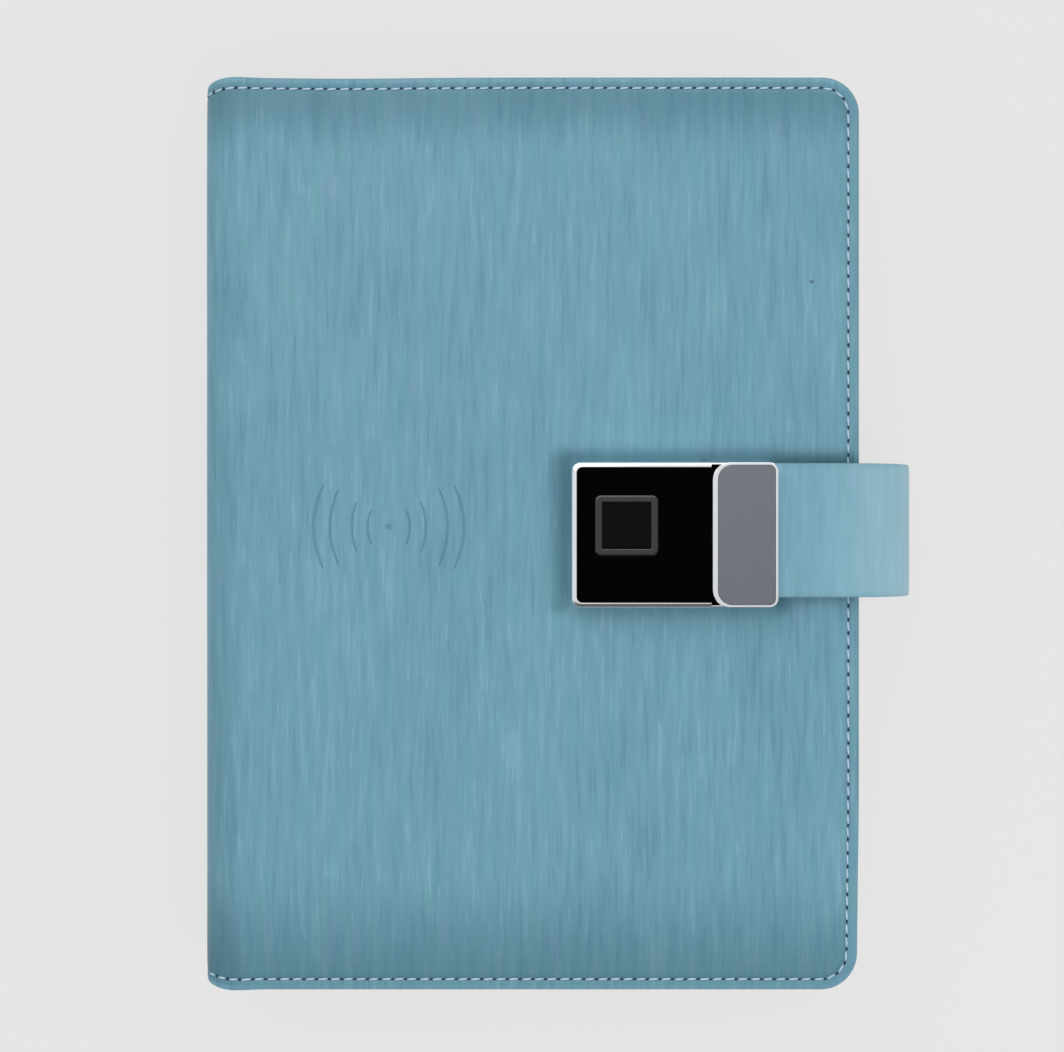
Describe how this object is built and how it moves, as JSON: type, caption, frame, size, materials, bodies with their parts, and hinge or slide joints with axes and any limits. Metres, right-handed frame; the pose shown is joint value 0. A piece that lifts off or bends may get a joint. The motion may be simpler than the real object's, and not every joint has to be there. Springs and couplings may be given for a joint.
{
  "type": "power bank notebook",
  "caption": "Ring-bound notebook with padded leather covers, a power bank inside the front cover, a touch lock and a strap with a metal clasp.",
  "frame": {"origin": "centre of the back cover's underside, on which the closed book rests", "axes": "+X from the spine to the fore edge, +Y to the head of the page, +Z out of the front cover"},
  "size_m": [0.184, 0.235, 0.0428],
  "materials": {
    "cover_leather": "brushed grain, satin",
    "strap_leather": "brushed grain, satin",
    "stiff_board": "raw grey board",
    "pad_foam": "soft foam",
    "lining_cloth": "fine grain, matt",
    "bright_metal": "polished",
    "spring_steel": "satin",
    "grey_plate": "satin grey, fine brushed",
    "black_glass": "gloss",
    "sensor_metal": "dark satin",
    "case_plastic": "fine texture",
    "button_plastic": "satin",
    "light_plastic": "milky",
    "cell_foil": "foil pouch",
    "circuit": "solder mask",
    "copper_winding": "lacquered copper",
    "ferrite": "matt",
    "paper_sheets": "uncoated",
    "divider_plastic": "frosted"
  },
  "bodies": {
    "back_cover": {"back_skin": "cover_leather", "back_board": "stiff_board", "back_lining": "lining_cloth", "strap_root": "strap_leather", "ring_shell": "bright_metal", "ring_rivets": "bright_metal", "paper_block": "paper_sheets", "divider_sheet": "divider_plastic"},
    "spine": {"spine_skin": "cover_leather", "spine_board": "stiff_board", "spine_lining": "lining_cloth", "crease_lower": "cover_leather"},
    "front_cover": {"front_skin": "cover_leather", "front_foam": "pad_foam", "front_board": "stiff_board", "front_lining": "lining_cloth", "crease_upper": "cover_leather", "coil_ferrite": "ferrite", "coil_winding": "copper_winding", "case_shell": "case_plastic", "case_back": "case_plastic", "battery_cells": "cell_foil", "charger_board": "circuit", "output_socket": "spring_steel", "charge_socket": "spring_steel", "button_switch": "button_plastic", "charge_lights": "light_plastic", "lock_housing": "bright_metal", "lock_face": "black_glass", "sensor_ring": "sensor_metal", "sensor_window": "black_glass", "lock_board": "circuit", "lock_cell": "cell_foil", "release_coil": "spring_steel", "bolt_spring": "spring_steel", "lock_screws": "spring_steel"},
    "latch_bolt": {"latch_bolt": "spring_steel"},
    "power_button": {"power_button": "button_plastic"},
    "ring_right": {"ring_halves_right": "bright_metal", "ring_blade_right": "spring_steel"},
    "ring_left": {"ring_halves_left": "bright_metal", "ring_blade_left": "spring_steel"},
    "ring_lever_top": {"ring_lever_top": "bright_metal"},
    "ring_lever_bottom": {"ring_lever_bottom": "bright_metal"},
    "strap_riser": {"riser_outer": "strap_leather", "riser_lining": "strap_leather", "strap_fold_lower": "strap_leather"},
    "strap_flap": {"flap_outer": "strap_leather", "flap_lining": "strap_leather", "clasp_frame": "bright_metal", "clasp_plate": "grey_plate", "clasp_catch": "spring_steel", "clasp_rivets": "spring_steel", "strap_fold_upper": "strap_leather"}
  },
  "joints": [
    {"name": "front_cover_fold", "type": "hinge", "parent": "spine", "child": "front_cover", "pos_m": [-0.08196, 0, 0.03196], "axis": [0, -1, 0], "range_deg": [0, 87.5], "deforming": ["crease_upper"]},
    {"name": "spine_fold", "type": "hinge", "parent": "back_cover", "child": "spine", "pos_m": [-0.08196, 0, 0.00204], "axis": [0, -1, 0], "range_deg": [0, 87.5], "deforming": ["crease_lower"]},
    {"name": "bolt_slide", "type": "slide", "parent": "front_cover", "child": "latch_bolt", "axis": [-1, 0, 0], "range_m": [0, 0.0024], "stiffness_N_per_m": 120, "springref_m": -0.002, "deforming": ["bolt_spring"]},
    {"name": "button_press", "type": "slide", "parent": "front_cover", "child": "power_button", "axis": [0, 0, 1], "range_m": [0, 0.0006], "stiffness_N_per_m": 600, "springref_m": -0.0005},
    {"name": "ring_open", "type": "hinge", "parent": "back_cover", "child": "ring_right", "pos_m": [-0.0561, 0, 0.0055], "axis": [0, 1, 0], "range_deg": [0, 12]},
    {"name": "ring_left_open", "type": "hinge", "parent": "back_cover", "child": "ring_left", "pos_m": [-0.0689, 0, 0.0055], "axis": [0, -1, 0], "range_deg": [0, 12]},
    {"name": "lever_top_tilt", "type": "hinge", "parent": "back_cover", "child": "ring_lever_top", "pos_m": [-0.0625, 0.1005, 0.0062], "axis": [-1, 0, 0], "range_deg": [0, 18]},
    {"name": "lever_bottom_tilt", "type": "hinge", "parent": "back_cover", "child": "ring_lever_bottom", "pos_m": [-0.0625, -0.1005, 0.0062], "axis": [1, 0, 0], "range_deg": [0, 18]},
    {"name": "strap_lift", "type": "hinge", "parent": "strap_riser", "child": "strap_flap", "pos_m": [0.0859, 0.00085, 0.03661], "axis": [0, 1, 0], "range_deg": [0, 125], "deforming": ["strap_fold_upper"]},
    {"name": "strap_lean", "type": "hinge", "parent": "back_cover", "child": "strap_riser", "pos_m": [0.08735, 0.00085, 0.00345], "axis": [0, 1, 0], "range_deg": [0, 45], "deforming": ["strap_fold_lower"]}
  ],
  "couplings": [
    {"joint": "spine_fold", "follows": "front_cover_fold", "ratio": 1},
    {"joint": "ring_left_open", "follows": "ring_open", "ratio": 1},
    {"joint": "lever_top_tilt", "follows": "ring_open", "ratio": 1.5},
    {"joint": "lever_bottom_tilt", "follows": "ring_open", "ratio": 1.5},
    {"joint": "strap_lean", "follows": "strap_lift", "ratio": 0.36}
  ]
}
